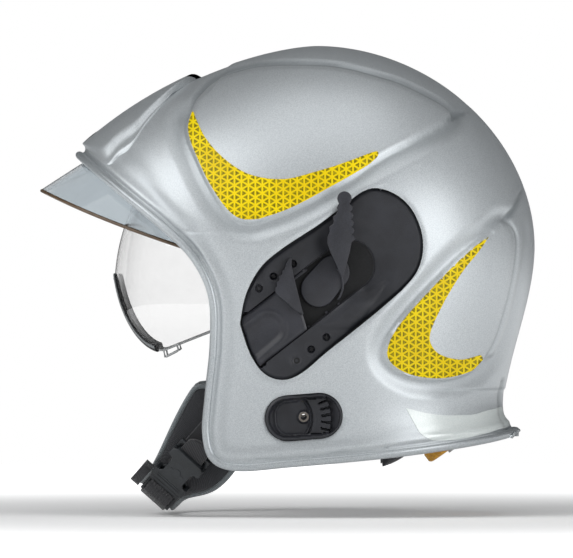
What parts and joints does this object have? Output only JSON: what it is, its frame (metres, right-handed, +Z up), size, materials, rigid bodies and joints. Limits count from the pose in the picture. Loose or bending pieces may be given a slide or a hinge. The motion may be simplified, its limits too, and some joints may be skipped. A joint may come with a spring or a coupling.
{
  "type": "firefighter helmet",
  "caption": "Jet-type structural firefighting helmet with stowed face shield, lowered eye visor, lever housings, ratchet nape fit and padded chin strap with side-release buckle.",
  "frame": {"origin": "middle of the head cavity, on the helmet's plane of symmetry", "axes": "-X is the front of the helmet, -Y the wearer's left side, +Z up"},
  "size_m": [0.321, 0.2508, 0.3021],
  "materials": {
    "silver_paint": "silver metallic lacquer over moulded composite",
    "trim": "silver grey moulded edge trim",
    "black_plastic": "fine-grained black nylon",
    "black_screw": "blackened screw",
    "lever_plastic": "fine-grained dark grey nylon",
    "brass": "turned brass",
    "yellow_sticker": "retroreflective film with a triangle lattice",
    "pale_sticker": "satin pale film",
    "liner_foam": "moulded energy-absorbing foam, dark grey",
    "textile": "knitted comfort textile",
    "harness_plastic": "matt black plastic",
    "leather": "smooth leather",
    "pad_foam": "black padded textile",
    "steel": "brushed steel",
    "tinted_shield": "lightly tinted clear polycarbonate, brown-gold edges",
    "washer": "natural acetal",
    "clear_lens": "clear polycarbonate",
    "rubber": "black rubber",
    "orange_plastic": "orange moulded plastic",
    "webbing": "black woven polyester webbing",
    "buckle_plastic": "satin dark grey acetal"
  },
  "bodies": {
    "shell": {"outer_shell": "silver_paint", "rim_trim": "trim", "front_plate": "silver_paint", "side_housing_left": "black_plastic", "side_housing_right": "black_plastic", "housing_screws": "black_screw", "accessory_port_left": "black_plastic", "accessory_port_right": "black_plastic", "port_insert_left": "brass", "port_insert_right": "brass", "front_reflectors": "yellow_sticker", "rear_reflectors": "yellow_sticker", "rear_strip": "pale_sticker", "impact_liner": "liner_foam", "comfort_cap": "textile", "head_ring": "harness_plastic", "sweatband": "leather", "side_pads": "pad_foam", "pivot_pins": "steel", "strap_anchors": "steel"},
    "face_shield": {"face_shield": "tinted_shield", "shield_arm_left": "black_plastic", "shield_arm_right": "black_plastic", "shield_washers": "washer"},
    "shield_levers": {"shield_lever_left": "lever_plastic", "shield_lever_right": "lever_plastic"},
    "eye_visor": {"eye_lens": "clear_lens", "eye_rubber": "rubber", "eye_arm_left": "black_plastic", "eye_arm_right": "black_plastic"},
    "eye_levers": {"eye_lever_left": "lever_plastic", "eye_lever_right": "lever_plastic"},
    "nape": {"nape_cradle": "harness_plastic", "nape_pad": "pad_foam", "ratchet_bracket": "harness_plastic"},
    "knob": {"ratchet_knob": "orange_plastic", "ratchet_pinion": "steel"},
    "chin_strap": {"side_strap_left": "webbing", "chin_pad": "pad_foam", "chin_webbing": "webbing", "buckle_body": "buckle_plastic", "buckle_insert": "buckle_plastic", "webbing_loops": "webbing"},
    "prong_upper": {"buckle_prong_upper": "buckle_plastic"},
    "prong_lower": {"buckle_prong_lower": "buckle_plastic"}
  },
  "joints": [
    {"name": "face_shield_hinge", "type": "hinge", "parent": "shell", "child": "face_shield", "pos_m": [-0.0175, 0, -0.015], "axis": [0, -1, 0], "range_deg": [0, 50]},
    {"name": "shield_lever_slide", "type": "slide", "parent": "shell", "child": "shield_levers", "axis": [-0.788, 0, -0.6157], "range_m": [0, 0.012]},
    {"name": "eye_visor_hinge", "type": "hinge", "parent": "shell", "child": "eye_visor", "pos_m": [-0.0175, 0, -0.015], "axis": [0, 1, 0], "range_deg": [0, 50]},
    {"name": "eye_lever_slide", "type": "slide", "parent": "shell", "child": "eye_levers", "axis": [0.788, 0, 0.6157], "range_m": [0, 0.012]},
    {"name": "nape_slide", "type": "slide", "parent": "shell", "child": "nape", "axis": [-1, 0, 0], "range_m": [0, 0.012]},
    {"name": "knob_turn", "type": "hinge", "parent": "nape", "child": "knob", "pos_m": [0.069, 0, -0.118], "axis": [0.5878, 0, -0.809], "range_deg": [0, 140]},
    {"name": "chin_strap_swing", "type": "hinge", "parent": "shell", "child": "chin_strap", "pos_m": [-0.046, 0, -0.062], "axis": [0, 1, 0], "range_deg": [-15, 12]},
    {"name": "prong_upper_press", "type": "hinge", "parent": "chin_strap", "child": "prong_upper", "pos_m": [-0.11926, -0.07311, -0.13527], "axis": [-0.3698, -0.829, -0.4195], "range_deg": [0, 6], "stiffness_Nm_per_rad": 0.3},
    {"name": "prong_lower_press", "type": "hinge", "parent": "chin_strap", "child": "prong_lower", "pos_m": [-0.10951, -0.07311, -0.14387], "axis": [0.3698, 0.829, 0.4195], "range_deg": [0, 6], "stiffness_Nm_per_rad": 0.3}
  ],
  "couplings": [
    {"joint": "shield_lever_slide", "follows": "face_shield_hinge", "m_per_rad": 0.013751},
    {"joint": "eye_lever_slide", "follows": "eye_visor_hinge", "m_per_rad": 0.013751},
    {"joint": "knob_turn", "follows": "nape_slide", "rad_per_m": 200}
  ]
}
